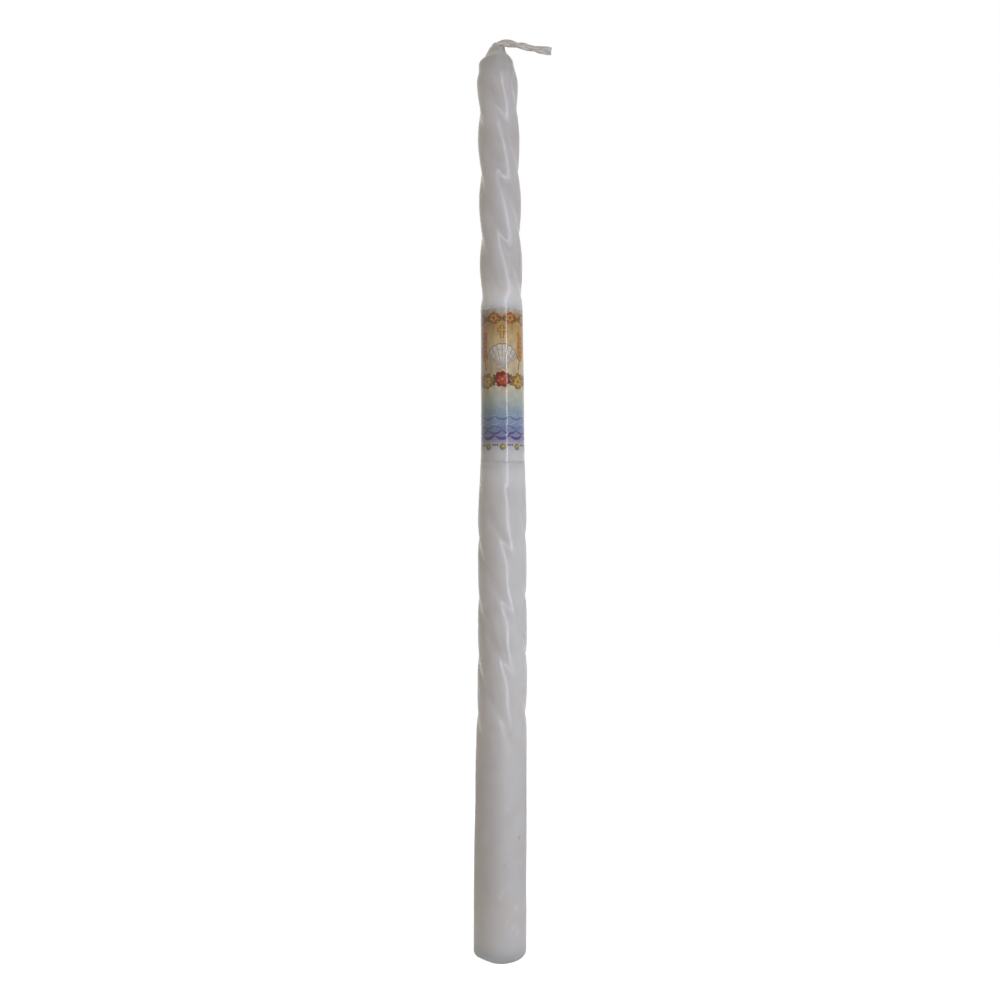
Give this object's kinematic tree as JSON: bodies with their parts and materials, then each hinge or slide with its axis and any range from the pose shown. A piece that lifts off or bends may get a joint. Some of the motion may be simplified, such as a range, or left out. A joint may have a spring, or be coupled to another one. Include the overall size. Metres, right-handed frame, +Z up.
{
  "type": "baptism candle",
  "caption": "Slim hand-held wax candle with a twisted four-lobed shaft, a plain foot, a printed film band and a cotton wick bent over at the tip.",
  "frame": {"origin": "centre of the foot's flat underside", "axes": "+Z up along the candle, from the foot to the tip; +X to the side that the wick's tail points to; -Y is the front, the side that the picture shows"},
  "size_m": [0.0262, 0.0176, 0.3016],
  "materials": {
    "wax": "satin white wax",
    "wick_cotton": "twisted cotton stiffened with wax",
    "printed_film": "glossy printed film"
  },
  "bodies": {
    "root": {"wax_body": "wax", "wick": "wick_cotton", "decal_film": "printed_film"}
  },
  "joints": []
}
